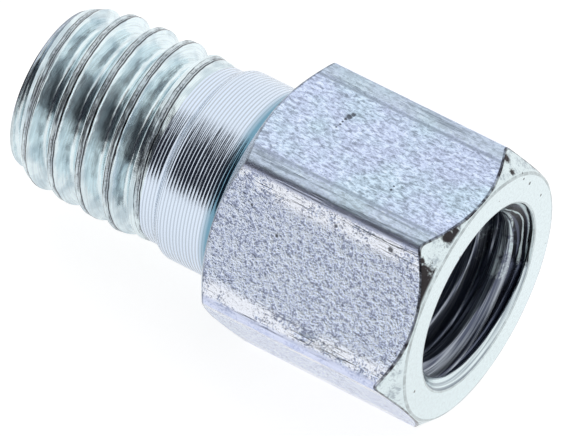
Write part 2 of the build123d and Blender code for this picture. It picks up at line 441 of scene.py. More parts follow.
def thread_tree():
    """Cuts or rolls a screw thread into the marked part of a body turned around X.

    Side is 1 for a thread outside and -1 for one in a hole. The turned surface stays where it is
    the crest, and everything between the crests is moved to the thread's own form.
    """
    tree = bpy.data.node_groups.new("Screw thread", "GeometryNodeTree")
    socket = tree.interface.new_socket
    socket("Geometry", in_out="INPUT", socket_type="NodeSocketGeometry")
    socket("Marked", in_out="INPUT", socket_type="NodeSocketString")
    for name in ("Side", "Pitch", "First Groove", "Root Radius", "Taper", "Runout Start", "Runout End",
                 "Runout Rise", "Root Rounding", "Crest Rounding", "Seam", "Seam Width", "Ragged", "Grain",
                 "Seed"):
        socket(name, in_out="INPUT", socket_type="NodeSocketFloat")
    socket("Material Slot", in_out="INPUT", socket_type="NodeSocketInt")
    socket("Material", in_out="INPUT", socket_type="NodeSocketMaterial")
    socket("Geometry", in_out="OUTPUT", socket_type="NodeSocketGeometry")
    given = add(tree, "NodeGroupInput").outputs

    place = add(tree, "GeometryNodeInputPosition")
    x, y, z = add(tree, "ShaderNodeSeparateXYZ", {0: place}).outputs
    turned_radius = from_axis(tree, y, z)
    angle = add(tree, "ShaderNodeMath", {0: z, 1: y}, operation="ARCTAN2")

    # the groove's centre climbs one pitch for each turn, and is half a pitch from each crest
    from_first = add(tree, "ShaderNodeMath", {0: x, 1: given["First Groove"]}, operation="SUBTRACT")
    pitches = add(tree, "ShaderNodeMath", {0: from_first, 1: given["Pitch"]}, operation="DIVIDE")
    whole_turns = add(tree, "ShaderNodeMath", {0: angle, 1: 2 * math.pi}, operation="DIVIDE")
    turns = add(tree, "ShaderNodeMath", {0: pitches, 1: whole_turns}, operation="SUBTRACT")
    part = add(tree, "ShaderNodeMath", {0: turns}, operation="FRACT")
    past_crest = add(tree, "ShaderNodeMath", {0: part, 1: 0.5}, operation="SUBTRACT")
    crest_share = add(tree, "ShaderNodeMath", {0: past_crest}, operation="ABSOLUTE")
    from_crest = add(tree, "ShaderNodeMath", {0: crest_share, 1: given["Pitch"]}, operation="MULTIPLY")
    groove_share = add(tree, "ShaderNodeMath", {0: 0.5, 1: crest_share}, operation="SUBTRACT")
    from_groove = add(tree, "ShaderNodeMath", {0: groove_share, 1: given["Pitch"]}, operation="MULTIPLY")

    # flanks at 60 degrees to each other, rounded into the root
    flank = add(tree, "ShaderNodeMath", {0: from_groove, 1: math.sqrt(3)}, operation="MULTIPLY")
    flank = add(tree, "ShaderNodeMath", {0: flank, 1: given["Root Rounding"]}, operation="SUBTRACT")
    reach = add(tree, "ShaderNodeMath", {0: given["Root Rounding"], 1: 1.2}, operation="MULTIPLY")
    rise = add(tree, "ShaderNodeMath", {0: flank, 1: 0.0, 2: reach}, operation="SMOOTH_MAX")

    # the root follows the taper and then comes up to the blank
    taper_x = add(tree, "ShaderNodeMath", {0: x, 1: given["Runout Start"]}, operation="MINIMUM")
    taper_x = add(tree, "ShaderNodeMath", {0: taper_x, 1: given["Runout Start"]}, operation="SUBTRACT")
    root = add(tree, "ShaderNodeMath", {
        0: taper_x, 1: given["Taper"], 2: given["Root Radius"],
    }, operation="MULTIPLY_ADD")
    fade = add(tree, "ShaderNodeMapRange", {
        "Value": x, "From Min": given["Runout Start"], "From Max": given["Runout End"],
        "To Max": given["Runout Rise"],
    })
    root = add(tree, "ShaderNodeMath", {0: root, 1: fade}, operation="ADD")
    formed = add(tree, "ShaderNodeMath", {0: root, 1: given["Side"], 2: rise}, operation="MULTIPLY_ADD")
    turned = add(tree, "ShaderNodeMath", {0: turned_radius, 1: given["Side"]}, operation="MULTIPLY")
    surface = add(tree, "ShaderNodeMath", {
        0: turned, 1: formed, 2: given["Crest Rounding"],
    }, operation="SMOOTH_MIN")

    # rolling folds the two sides of a crest against each other and leaves a ragged seam
    near_crest = add(tree, "ShaderNodeMapRange", {
        "Value": from_crest, "From Max": given["Seam Width"], "To Min": 1.0, "To Max": 0.0,
    }, interpolation_type="SMOOTHSTEP")
    above = add(tree, "ShaderNodeMath", {0: formed, 1: turned}, operation="SUBTRACT")
    below_crest = add(tree, "ShaderNodeMath", {0: given["Crest Rounding"], 1: -0.5}, operation="MULTIPLY")
    on_crest = add(tree, "ShaderNodeMapRange", {
        "Value": above, "From Min": below_crest, "From Max": given["Crest Rounding"],
    })
    # the flakes are three times as long round the axis as across
    along = add(tree, "ShaderNodeVectorMath", {0: place, 1: (3.0, 1.0, 1.0)}, operation="MULTIPLY")
    grains = add(tree, "ShaderNodeMath", {0: 1.0, 1: given["Grain"]}, operation="DIVIDE")
    flakes = add(tree, "ShaderNodeTexNoise", {
        "Vector": along, "W": given["Seed"], "Scale": grains, "Detail": 3.0, "Roughness": 0.6,
    }, noise_dimensions="4D")
    seam = add(tree, "ShaderNodeMath", {0: near_crest, 1: given["Seam"]}, operation="MULTIPLY")
    uneven = add(tree, "ShaderNodeMath", {0: flakes, 1: 0.35}, operation="ADD")
    seam = add(tree, "ShaderNodeMath", {0: seam, 1: uneven}, operation="MULTIPLY")
    ragged = add(tree, "ShaderNodeMath", {0: flakes, 1: 0.62}, operation="SUBTRACT")
    ragged = add(tree, "ShaderNodeMath", {0: ragged, 1: given["Ragged"]}, operation="MULTIPLY")
    loss = add(tree, "ShaderNodeMath", {0: ragged, 1: seam}, operation="SUBTRACT")
    loss = add(tree, "ShaderNodeMath", {0: loss, 1: on_crest}, operation="MULTIPLY")
    loss = add(tree, "ShaderNodeMath", {0: loss, 1: 0.0}, operation="MINIMUM")
    surface = add(tree, "ShaderNodeMath", {0: surface, 1: loss}, operation="ADD")
    new_radius = add(tree, "ShaderNodeMath", {0: surface, 1: given["Side"]}, operation="MULTIPLY")
    scale = add(tree, "ShaderNodeMath", {0: new_radius, 1: turned_radius}, operation="DIVIDE")
    moved = add(tree, "ShaderNodeCombineXYZ", {
        "X": x,
        "Y": add(tree, "ShaderNodeMath", {0: y, 1: scale}, operation="MULTIPLY"),
        "Z": add(tree, "ShaderNodeMath", {0: z, 1: scale}, operation="MULTIPLY"),
    })

    # the place across the thread, as a circle: 1, 0 on a crest and -1, 0 in a groove
    circle = add(tree, "ShaderNodeMath", {0: past_crest, 1: 2 * math.pi}, operation="MULTIPLY")
    helix = add(tree, "ShaderNodeCombineXYZ", {
        "X": add(tree, "ShaderNodeMath", {0: circle}, operation="COSINE"),
        "Y": add(tree, "ShaderNodeMath", {0: circle}, operation="SINE"),
    })
    # 1 where the groove took the turned surface away
    taken = add(tree, "ShaderNodeMath", {0: turned, 1: formed}, operation="SUBTRACT")
    cut = add(tree, "ShaderNodeMapRange", {"Value": taken, "From Max": 0.04 * MM})

    marked = add(tree, "GeometryNodeInputNamedAttribute", {"Name": given["Marked"]}, data_type="BOOLEAN")
    noted = add(tree, "GeometryNodeStoreNamedAttribute", {
        "Geometry": given["Geometry"], "Selection": marked, "Name": "helix", "Value": helix,
    }, data_type="FLOAT_VECTOR", domain="POINT")
    noted = add(tree, "GeometryNodeStoreNamedAttribute", {
        "Geometry": noted, "Selection": marked, "Name": "cut", "Value": cut,
    }, data_type="FLOAT", domain="POINT")
    shaped = add(tree, "GeometryNodeSetPosition", {"Geometry": noted, "Selection": marked, "Position": moved})
    whole = add(tree, "GeometryNodeRealizeInstances", {0: shaped})
    in_slot = add(tree, "FunctionNodeCompare", {
        "A": add(tree, "GeometryNodeInputMaterialIndex"), "B": given["Material Slot"],
    }, data_type="INT", operation="EQUAL")
    finish = add(tree, "GeometryNodeSetMaterial", {
        "Geometry": whole, "Selection": in_slot, "Material": given["Material"],
    })
    add(tree, "NodeGroupOutput", {"Geometry": finish})
    return tree


def cut_thread(piece, values):
    """Runs the thread tree on the piece with the given inputs, and keeps the plain mesh."""
    tree = bpy.data.node_groups.get("Screw thread") or thread_tree()
    modifier = piece.modifiers.new("Screw thread", "NODES")
    modifier.node_group = tree
    for item in tree.interface.items_tree:
        if item.in_out == "INPUT" and item.name in values:
            modifier[item.identifier] = values[item.name]
    settle(piece)


# ---------------------------------------------------------------- the finishes

def new_material(name):
    """An empty node material, its tree and its Object coordinates."""
    material = bpy.data.materials.new(name)
    material.use_nodes = True
    tree = material.node_tree
    tree.nodes.clear()
    return material, tree, add(tree, "ShaderNodeTexCoord").outputs["Object"]


def finish_metal(tree, base, rough, relief, depth):
    """Ends a metal's tree with its colour, its roughness and a relief of this depth."""
    bump = add(tree, "ShaderNodeBump", {"Height": relief, "Distance": depth})
    shader = add(tree, "ShaderNodeBsdfPrincipled", {
        "Base Color": base, "Metallic": 1.0, "Roughness": rough, "Normal": bump,
    })
    add(tree, "ShaderNodeOutputMaterial", {"Surface": shader})


def layered(tree, base, *layers):
    """A colour under layers. Each layer is a share and the colour that it lays over what is below."""
    for share, over in layers:
        under, over = (c if isinstance(c, bpy.types.NodeSocket) else (*c, 1.0) for c in (base, over))
        mixed = add(tree, "ShaderNodeMix", {"Factor": share, "A": under, "B": over}, data_type="RGBA")
        base = mixed.outputs["Result"]
    return base


def dark_spots(tree, place, size, share, seed):
    """Scattered small pits: 1 inside one, 0 elsewhere, in about this share of the cells."""
    cells = add(tree, "ShaderNodeTexVoronoi", {
        "Vector": place, "W": seed, "Scale": 1 / (size * 5),
    }, voronoi_dimensions="4D")
    inside = add(tree, "ShaderNodeMapRange", {
        "Value": cells.outputs["Distance"], "From Min": 0.13, "From Max": 0.06,
    })
    drawn_lot = add(tree, "ShaderNodeSeparateColor", {0: cells.outputs["Color"]})
    chosen = add(tree, "ShaderNodeMath", {0: drawn_lot, 1: share}, operation="LESS_THAN")
    return add(tree, "ShaderNodeMath", {0: inside, 1: chosen}, operation="MULTIPLY")


def stain(tree, place, spots, seed):
    """1 inside single spots with ragged edges, 0 elsewhere. Each spot is x, y, z and its radius, in mm."""
    noise = add(tree, "ShaderNodeTexNoise", {
        "Vector": place, "W": seed, "Scale": 1 / (0.12 * MM), "Detail": 3.0, "Roughness": 0.65,
    }, noise_dimensions="4D")
    ragged = add(tree, "ShaderNodeMapRange", {
        "Value": noise, "From Min": 0.3, "From Max": 0.7, "To Min": 0.6, "To Max": 1.5,
    })
    inside = None
    for x, y, z, size in spots:
        middle = (x * MM, y * MM, z * MM)
        off = add(tree, "ShaderNodeVectorMath", {0: place, 1: middle}, operation="DISTANCE").outputs["Value"]
        off = add(tree, "ShaderNodeMath", {0: off, 1: ragged}, operation="MULTIPLY")
        spot = add(tree, "ShaderNodeMapRange", {
            "Value": off, "From Min": size * MM, "From Max": size * 0.6 * MM,
        })
        if inside:
            spot = add(tree, "ShaderNodeMath", {0: inside, 1: spot}, operation="MAXIMUM")
        inside = spot
    return inside


def ring_grain(tree, way, y, z, fine, long, seed):
    """Noise in streaks that run round the axis, this fine across them and this long."""
    streak = add(tree, "ShaderNodeCombineXYZ", {
        "X": add(tree, "ShaderNodeMath", {0: way, 1: 1 / fine}, operation="MULTIPLY"),
        "Y": add(tree, "ShaderNodeMath", {0: y, 1: 1 / long}, operation="MULTIPLY"),
        "Z": add(tree, "ShaderNodeMath", {0: z, 1: 1 / long}, operation="MULTIPLY"),
    })
    return add(tree, "ShaderNodeTexNoise", {"Vector": streak, "W": seed, "Scale": 1.0}, noise_dimensions="4D")


def shaded_edge(tree, place):
    """Painted shade on a broken edge, patchy along it."""
    wear = add(tree, "ShaderNodeAttribute", attribute_name="wear").outputs["Fac"]
    patchy = add(tree, "ShaderNodeTexNoise", {
        "Vector": place, "Scale": 1 / (0.3 * MM), "Detail": 4.0, "Roughness": 0.7,
    })
    patchy = add(tree, "ShaderNodeMapRange", {
        "Value": patchy, "From Min": 0.3, "From Max": 0.6, "To Min": 0.25,
    })
    return add(tree, "ShaderNodeMath", {0: wear, 1: patchy}, operation="MULTIPLY")


def drawn_zinc(look):
    """Bright zinc over drawn bar: a fine sandy skin, burnished and scored lengthwise beside the bar's edges.

    The sandy grain of such bar is about 0.03 mm, and is drawn twice as coarse here so that it shows.
    """
    material, tree, place = new_material("zinc_plated_drawn_bar")
    _, y, z = add(tree, "ShaderNodeSeparateXYZ", {0: place}).outputs
    reach = from_axis(tree, y, z)
    # how far in from the bar's rounded corners
    inside = add(tree, "ShaderNodeMath", {0: CORNER_RADIUS, 1: reach}, operation="SUBTRACT")
    sand = add(tree, "ShaderNodeTexNoise", {
        "Vector": place, "Scale": 1 / (0.065 * MM), "Detail": 3.0, "Roughness": 0.7,
    })
    coarse = add(tree, "ShaderNodeTexNoise", {"Vector": place, "Scale": 1 / (0.16 * MM)})
    stretched = add(tree, "ShaderNodeVectorMath", {0: place, 1: (0.45, 1.0, 1.0)}, operation="MULTIPLY")
    grain = add(tree, "ShaderNodeTexNoise", {
        "Vector": stretched, "Scale": 1 / (0.1 * MM), "Detail": 3.0, "Roughness": 0.65, "Distortion": 0.6,
    })
    cloud = add(tree, "ShaderNodeTexNoise", {
        "Vector": place, "Scale": 1 / (0.8 * MM), "Detail": 3.0, "Roughness": 0.6,
    })

    # the top flat is smoother, with short strokes along it, and the others are sandy
    sandy = add(tree, "ShaderNodeMath", {0: z, 1: HIGH.z - 0.05 * MM}, operation="LESS_THAN")
    smooth = add(tree, "ShaderNodeMath", {0: 1.0, 1: sandy}, operation="SUBTRACT")
    sand_tone = add(tree, "ShaderNodeMapRange", {
        "Value": add(tree, "ShaderNodeMath", {0: coarse, 1: 0.5, 2: sand}, operation="MULTIPLY_ADD"),
        "From Min": 0.62, "From Max": 0.79, "To Min": 0.54, "To Max": 1.42,
    })
    stroke_tone = add(tree, "ShaderNodeMapRange", {
        "Value": add(tree, "ShaderNodeMath", {0: sand, 1: 0.4, 2: grain}, operation="MULTIPLY_ADD"),
        "From Min": 0.54, "From Max": 0.84, "To Min": 0.46, "To Max": 1.2,
    })
    cloud_tone = add(tree, "ShaderNodeMapRange", {
        "Value": cloud, "From Min": 0.3, "From Max": 0.7, "To Min": 0.92, "To Max": 1.06,
    })
    tone = add(tree, "ShaderNodeMix", {"Factor": sandy, "A": stroke_tone, "B": sand_tone})
    tone = add(tree, "ShaderNodeMath", {0: tone, 1: cloud_tone}, operation="MULTIPLY")

    # the film is bluer in patches, nearly all of them on the top flat
    film = add(tree, "ShaderNodeTexNoise", {
        "Vector": place, "Scale": 1 / (2.2 * MM), "Detail": 3.0, "Roughness": 0.6,
    })
    film = add(tree, "ShaderNodeMapRange", {
        "Value": film, "From Min": 0.42, "From Max": 0.58, "To Min": 0.25, "To Max": 0.85,
    })
    film_share = add(tree, "ShaderNodeMapRange", {"Value": sandy, "To Min": 1.0, "To Max": 0.12})
    film = add(tree, "ShaderNodeMath", {0: film, 1: film_share}, operation="MULTIPLY")
    base = layered(tree, look.drawn, (film, look.drawn_blue))
    base = add(tree, "ShaderNodeVectorMath", {0: base, 1: tone}, operation="MULTIPLY")
    base = add(tree, "ShaderNodeVectorMath", {0: base, 1: look.drawn_white}, operation="MINIMUM").outputs[0]

    # a smooth grey-green strip beside each edge of the top flat
    strip = add(tree, "ShaderNodeMapRange", {
        "Value": inside, "From Min": 0.212 * MM, "From Max": 0.172 * MM, "To Max": 0.45,
    })
    strip = add(tree, "ShaderNodeMath", {0: strip, 1: smooth}, operation="MULTIPLY")

    # the die scores long lines beside the edges
    drag = add(tree, "ShaderNodeVectorMath", {0: place, 1: (0.06, 1.0, 1.0)}, operation="MULTIPLY")
    scores = add(tree, "ShaderNodeTexNoise", {
        "Vector": drag, "Scale": 1 / (0.16 * MM), "Detail": 3.0, "Roughness": 0.6,
    })
    scored = add(tree, "ShaderNodeMapRange", {
        "Value": scores, "From Min": 0.36, "From Max": 0.48, "To Min": 0.7, "To Max": 0.0,
    })
    beside_edge = add(tree, "ShaderNodeMapRange", {
        "Value": inside, "From Min": 0.332 * MM, "From Max": 0.152 * MM,
    })
    scored = add(tree, "ShaderNodeMath", {0: scored, 1: beside_edge}, operation="MULTIPLY")

    # and one long broken score along the inner side of the strip
    off_score = add(tree, "ShaderNodeMath", {0: inside, 1: 0.227 * MM}, operation="SUBTRACT")
    on_score = add(tree, "ShaderNodeMapRange", {
        "Value": add(tree, "ShaderNodeMath", {0: off_score}, operation="ABSOLUTE"),
        "From Min": 0.035 * MM, "From Max": 0.01 * MM, "To Max": 0.8,
    })
    broken = add(tree, "ShaderNodeMapRange", {
        "Value": grain, "From Min": 0.4, "From Max": 0.56, "To Min": 0.2,
    })
    on_score = add(tree, "ShaderNodeMath", {0: on_score, 1: broken}, operation="MULTIPLY")
    on_score = add(tree, "ShaderNodeMath", {0: on_score, 1: smooth}, operation="MULTIPLY")
    scored = add(tree, "ShaderNodeMath", {0: scored, 1: on_score}, operation="MAXIMUM")

    # on the sandy flats the burnished skin beside the edges is white in patches
    patches = add(tree, "ShaderNodeMapRange", {
        "Value": add(tree, "ShaderNodeMath", {0: sand, 1: 0.9, 2: cloud}, operation="MULTIPLY_ADD"),
        "From Min": 0.85, "From Max": 0.97,
    })
    skimmed = add(tree, "ShaderNodeMapRange", {
        "Value": inside, "From Min": 0.332 * MM, "From Max": 0.232 * MM,
    })
    burnished = add(tree, "ShaderNodeMath", {0: patches, 1: skimmed}, operation="MULTIPLY")
    burnished = add(tree, "ShaderNodeMath", {0: burnished, 1: sandy}, operation="MULTIPLY")

    # their rounded edges are plain zinc
    on_edge = add(tree, "ShaderNodeMapRange", {
        "Value": inside, "From Min": 0.092 * MM, "From Max": 0.042 * MM,
    })
    rounded = add(tree, "ShaderNodeMath", {0: on_edge, 1: sandy}, operation="MULTIPLY")
    rounded = add(tree, "ShaderNodeMath", {0: rounded, 1: 0.6}, operation="MULTIPLY")

    pits = dark_spots(tree, place, 0.06 * MM, 0.1, 3.0)
    dirt_and_shade = add(tree, "ShaderNodeMath", {0: stain(tree, place, BAR_MARKS, 2.0), 1: pits}, operation="MAXIMUM")
    dirt_and_shade = add(tree, "ShaderNodeMath", {0: dirt_and_shade, 1: 0.85}, operation="MULTIPLY")
    # painted shade along the broken edges joins the pits and marks
    dirt_and_shade = add(tree, "ShaderNodeMath", {0: dirt_and_shade, 1: shaded_edge(tree, place)}, operation="MAXIMUM")
    base = layered(
        tree, base, (strip, look.edge_strip), (scored, look.drawn_shade), (burnished, look.burnished),
        (rounded, look.drawn), (dirt_and_shade, look.fold),
    )

    # the die leaves the rounded edges and the burnished patches smoother than the sandy skin
    sand_relief = add(tree, "ShaderNodeMath", {0: coarse, 1: 1.2, 2: sand}, operation="MULTIPLY_ADD")
    sand_relief = add(tree, "ShaderNodeMath", {0: sand_relief, 1: 1.1}, operation="SUBTRACT")
    stroke_relief = add(tree, "ShaderNodeMath", {0: grain, 1: 0.5}, operation="SUBTRACT")
    relief = add(tree, "ShaderNodeMix", {"Factor": sandy, "A": stroke_relief, "B": sand_relief})
    edge_share = add(tree, "ShaderNodeMapRange", {
        "Value": inside, "From Min": 0.092 * MM, "From Max": 0.022 * MM, "To Min": 1.0, "To Max": 0.3,
    })
    patch_share = add(tree, "ShaderNodeMapRange", {"Value": burnished, "To Min": 1.0, "To Max": 0.25})
    relief = add(tree, "ShaderNodeMath", {0: relief, 1: edge_share}, operation="MULTIPLY")
    relief = add(tree, "ShaderNodeMath", {0: relief, 1: patch_share}, operation="MULTIPLY")
    relief = add(tree, "ShaderNodeMath", {0: scored, 1: -0.6, 2: relief}, operation="MULTIPLY_ADD")
    rough = add(tree, "ShaderNodeMapRange", {"Value": burnished, "To Min": 0.2, "To Max": 0.15})
    rough = add(tree, "ShaderNodeMath", {0: on_edge, 1: 0.22, 2: rough}, operation="MULTIPLY_ADD")
    finish_metal(tree, base, rough, relief, 0.018 * MM)
    return material


def turned_zinc(look):
    """Bright zinc over the turned neck: the tool's feed marks run round the axis, and painted teal shade lies
    in the corner with the shoulder."""
    material, tree, place = new_material("zinc_plated_turned_neck")
    x, y, z = add(tree, "ShaderNodeSeparateXYZ", {0: place}).outputs
    reach = from_axis(tree, y, z)
    # feed marks 0.112 mm apart along the neck and across the shoulder
    way = add(tree, "ShaderNodeMath", {0: x, 1: reach}, operation="ADD")
    phase = add(tree, "ShaderNodeMath", {0: way, 1: 2 * math.pi / (0.112 * MM)}, operation="MULTIPLY")
    ridges = add(tree, "ShaderNodeMath", {0: phase}, operation="SINE")
    streaks = ring_grain(tree, way, y, z, 0.04 * MM, 2.5 * MM, 1.0)
    mottle = add(tree, "ShaderNodeTexNoise", {"Vector": place, "Scale": 1 / (0.12 * MM)})
    relief = add(tree, "ShaderNodeMath", {0: ridges, 1: 0.5, 2: streaks}, operation="MULTIPLY_ADD")
    relief = add(tree, "ShaderNodeMath", {0: mottle, 1: 0.2, 2: relief}, operation="MULTIPLY_ADD")
    # painted shade in the bottom of each mark
    tone = add(tree, "ShaderNodeMapRange", {
        "Value": ridges, "From Min": -1.0, "From Max": 0.2, "To Min": 0.7, "To Max": 1.03,
    })
    base = add(tree, "ShaderNodeVectorMath", {0: look.turned, 1: tone}, operation="MULTIPLY").outputs[0]
    # painted teal shade in the corner with the shoulder
    near_shoulder = add(tree, "ShaderNodeMapRange", {
        "Value": x, "From Min": -0.78 * MM, "From Max": -0.5 * MM, "To Max": 0.95,
    })
    near_neck = add(tree, "ShaderNodeMapRange", {
        "Value": reach, "From Min": NECK_RADIUS + 0.44 * MM, "From Max": NECK_RADIUS + 0.22 * MM,
    })
    in_corner = add(tree, "ShaderNodeMath", {0: near_shoulder, 1: near_neck}, operation="MULTIPLY")
    pits = dark_spots(tree, place, 0.05 * MM, 0.03, 5.0)
    dirt_and_shade = add(tree, "ShaderNodeMath", {0: pits, 1: 0.7}, operation="MULTIPLY")
    # painted shade along the broken edges joins the pits
    dirt_and_shade = add(tree, "ShaderNodeMath", {0: dirt_and_shade, 1: shaded_edge(tree, place)}, operation="MAXIMUM")
    base = layered(tree, base, (in_corner, look.corner_shade), (dirt_and_shade, look.fold))
    finish_metal(tree, base, 0.17, relief, 0.01 * MM)
    return material


def faced_zinc(look):
    """Bright zinc over the faced end and its chamfer: pale and even, with a few pits. Old brown grease clings
    to the corner chamfers, which were touched last, and a painted dark reflection lies over it there."""
    material, tree, place = new_material("zinc_plated_faced_end")
    x, y, z = add(tree, "ShaderNodeSeparateXYZ", {0: place}).outputs
    rings = ring_grain(tree, from_axis(tree, y, z), y, z, 0.05 * MM, 2.0 * MM, 2.0)
    mottle = add(tree, "ShaderNodeTexNoise", {
        "Vector": place, "Scale": 1 / (0.1 * MM), "Detail": 3.0, "Roughness": 0.6,
    })
    cloud = add(tree, "ShaderNodeTexNoise", {
        "Vector": place, "Scale": 1 / (0.4 * MM), "Detail": 4.0, "Roughness": 0.65,
    })
    on_chamfer = add(tree, "ShaderNodeMapRange", {
        "Value": x, "From Min": END_X - 0.04 * MM, "From Max": END_X - 0.1 * MM,
    })
    tone = add(tree, "ShaderNodeMapRange", {
        "Value": mottle, "From Min": 0.35, "From Max": 0.6, "To Min": 0.94, "To Max": 1.02,
    })
    base = add(tree, "ShaderNodeVectorMath", {0: look.faced, 1: tone}, operation="MULTIPLY").outputs[0]
    # mottled grey on the chamfer
    grey = add(tree, "ShaderNodeMapRange", {
        "Value": add(tree, "ShaderNodeMath", {0: mottle, 1: 0.6, 2: cloud}, operation="MULTIPLY_ADD"),
        "From Min": 0.76, "From Max": 1.0, "To Max": 0.6,
    })
    grey = add(tree, "ShaderNodeMath", {0: grey, 1: on_chamfer}, operation="MULTIPLY")
    # old brown grease with a painted dark reflection on the corner chamfers
    grime_and_shade = stain(tree, place, CHAMFER_GRIME_AND_SHADE, 4.0)
    dirt_and_shade = add(tree, "ShaderNodeMath", {0: grime_and_shade, 1: on_chamfer}, operation="MULTIPLY")
    for pits in (stain(tree, place, FACE_PITS, 6.0), dark_spots(tree, place, 0.04 * MM, 0.05, 5.0)):
        dirt_and_shade = add(tree, "ShaderNodeMath", {0: dirt_and_shade, 1: pits}, operation="MAXIMUM")
    dirt_and_shade = add(tree, "ShaderNodeMath", {0: dirt_and_shade, 1: 0.97}, operation="MULTIPLY")
    # painted shade along the broken edges joins the pits and stains
    dirt_and_shade = add(tree, "ShaderNodeMath", {0: dirt_and_shade, 1: shaded_edge(tree, place)}, operation="MAXIMUM")
    base = layered(tree, base, (grey, look.drawn_shade), (dirt_and_shade, look.grime_and_shade))
    # the hollows in the chamfer are seven times as deep as those in the end face
    unevenness = add(tree, "ShaderNodeMath", {0: on_chamfer, 1: 6.0, 2: 1.0}, operation="MULTIPLY_ADD")
    hollows = add(tree, "ShaderNodeMath", {0: mottle, 1: 0.5}, operation="SUBTRACT")
    relief = add(tree, "ShaderNodeMath", {0: unevenness, 1: hollows}, operation="MULTIPLY")
    relief = add(tree, "ShaderNodeMath", {0: rings, 1: 0.4, 2: relief}, operation="MULTIPLY_ADD")
    finish_metal(tree, base, 0.22, relief, 0.003 * MM)
    return material


def rolled_zinc(look, threads):
    """Bright zinc over a rolled thread: burnished flanks and root with fine streaks round the axis. Rolling
    folds the skin together along each crest, which leaves a broken grey seam and a dark fold. Dark hairlines
    of painted shade run beside each crest and at the foot of the flank on the tip's side."""
    material, tree, place = new_material("zinc_plated_rolled_thread")
    x, y, z = add(tree, "ShaderNodeSeparateXYZ", {0: place}).outputs
    helix = add(tree, "ShaderNodeAttribute", attribute_name="helix").outputs["Vector"]
    cosine, sine, _ = add(tree, "ShaderNodeSeparateXYZ", {0: helix}).outputs
    turn = add(tree, "ShaderNodeMath", {0: sine, 1: cosine}, operation="ARCTAN2")
    # the distance from the middle of the crest, positive towards the hexagon
    across = add(tree, "ShaderNodeMath", {0: turn, 1: threads.pitch / (2 * math.pi)}, operation="MULTIPLY")
    wander = add(tree, "ShaderNodeTexNoise", {"Vector": place, "Scale": 1 / (0.5 * MM)})
    wander = add(tree, "ShaderNodeMapRange", {"Value": wander, "To Min": -0.03 * MM, "To Max": 0.03 * MM})
    across = add(tree, "ShaderNodeMath", {0: across, 1: wander}, operation="ADD")
    patchy = ring_grain(tree, across, y, z, 0.16 * MM, 0.7 * MM, 5.0)
    speckle = add(tree, "ShaderNodeTexNoise", {
        "Vector": place, "Scale": 1 / (0.075 * MM), "Detail": 3.0, "Roughness": 0.7,
    })

    def line(middle, half_width, soft, low, high):
        """1 along a line this far from the crest's middle, broken up where the patchy noise is low."""
        off = add(tree, "ShaderNodeMath", {0: across, 1: middle}, operation="SUBTRACT")
        off = add(tree, "ShaderNodeMath", {0: off}, operation="ABSOLUTE")
        inside = add(tree, "ShaderNodeMapRange", {
            "Value": off, "From Min": half_width + soft, "From Max": half_width,
        })
        broken = add(tree, "ShaderNodeMapRange", {"Value": patchy, "From Min": low, "From Max": high})
        return add(tree, "ShaderNodeMath", {0: inside, 1: broken}, operation="MULTIPLY")

    skin = line(0.0, 0.04 * MM, 0.03 * MM, 0.32, 0.54)
    # the fold along the crest; painted shade in a hairline on each side of it and in one at the foot of the
    # tip-side flank
    dark = line(0.01 * MM, 0.006 * MM, 0.016 * MM, 0.38, 0.54)
    for hairline in (
        line(-0.085 * MM, 0.006 * MM, 0.02 * MM, 0.30, 0.52),
        line(0.09 * MM, 0.014 * MM, 0.02 * MM, 0.2, 0.42),
        line(-0.36 * MM, 0.012 * MM, 0.025 * MM, 0.3, 0.5),
    ):
        dark = add(tree, "ShaderNodeMath", {0: dark, 1: hairline}, operation="MAXIMUM")

    # the real streaks are finer than the 0.03 mm that shows
    streaks = ring_grain(tree, x, y, z, 0.03 * MM, 1.2 * MM, 3.0)
    tone = add(tree, "ShaderNodeMapRange", {
        "Value": streaks, "From Min": 0.34, "From Max": 0.56, "To Min": 0.88, "To Max": 1.03,
    })
    waves = ring_grain(tree, x, y, z, 0.4 * MM, 1.0 * MM, 3.0)
    film = add(tree, "ShaderNodeMapRange", {
        "Value": waves, "From Min": 0.46, "From Max": 0.62, "To Max": 0.45,
    })
    base = layered(tree, look.rolled, (film, look.rolled_shade))
    base = add(tree, "ShaderNodeVectorMath", {0: base, 1: tone}, operation="MULTIPLY").outputs[0]
    skin_tone = add(tree, "ShaderNodeMapRange", {
        "Value": speckle, "From Min": 0.42, "From Max": 0.58, "To Min": 0.3, "To Max": 1.7,
    })
    crest = add(tree, "ShaderNodeVectorMath", {0: look.crest, 1: skin_tone}, operation="MULTIPLY").outputs[0]
    skin_share = add(tree, "ShaderNodeMath", {0: skin, 1: 0.7}, operation="MULTIPLY")
    # the fold, and the hairlines of painted shade
    dark_share = add(tree, "ShaderNodeMath", {0: dark, 1: 0.95}, operation="MULTIPLY")
    base = layered(
        # painted shade along the broken edges
        tree, base, (skin_share, crest), (dark_share, look.fold), (shaded_edge(tree, place), look.fold),
    )
    rough_skin = add(tree, "ShaderNodeMath", {0: skin, 1: patchy}, operation="MULTIPLY")
    relief = streaks
    for height, share in ((speckle, 0.6), (waves, 18.0), (rough_skin, 2.5), (dark, -1.5)):
        relief = add(tree, "ShaderNodeMath", {0: height, 1: share, 2: relief}, operation="MULTIPLY_ADD")
    rough = add(tree, "ShaderNodeMapRange", {"Value": skin, "To Min": 0.27, "To Max": 0.4})
    finish_metal(tree, base, rough, relief, 0.005 * MM)
    return material


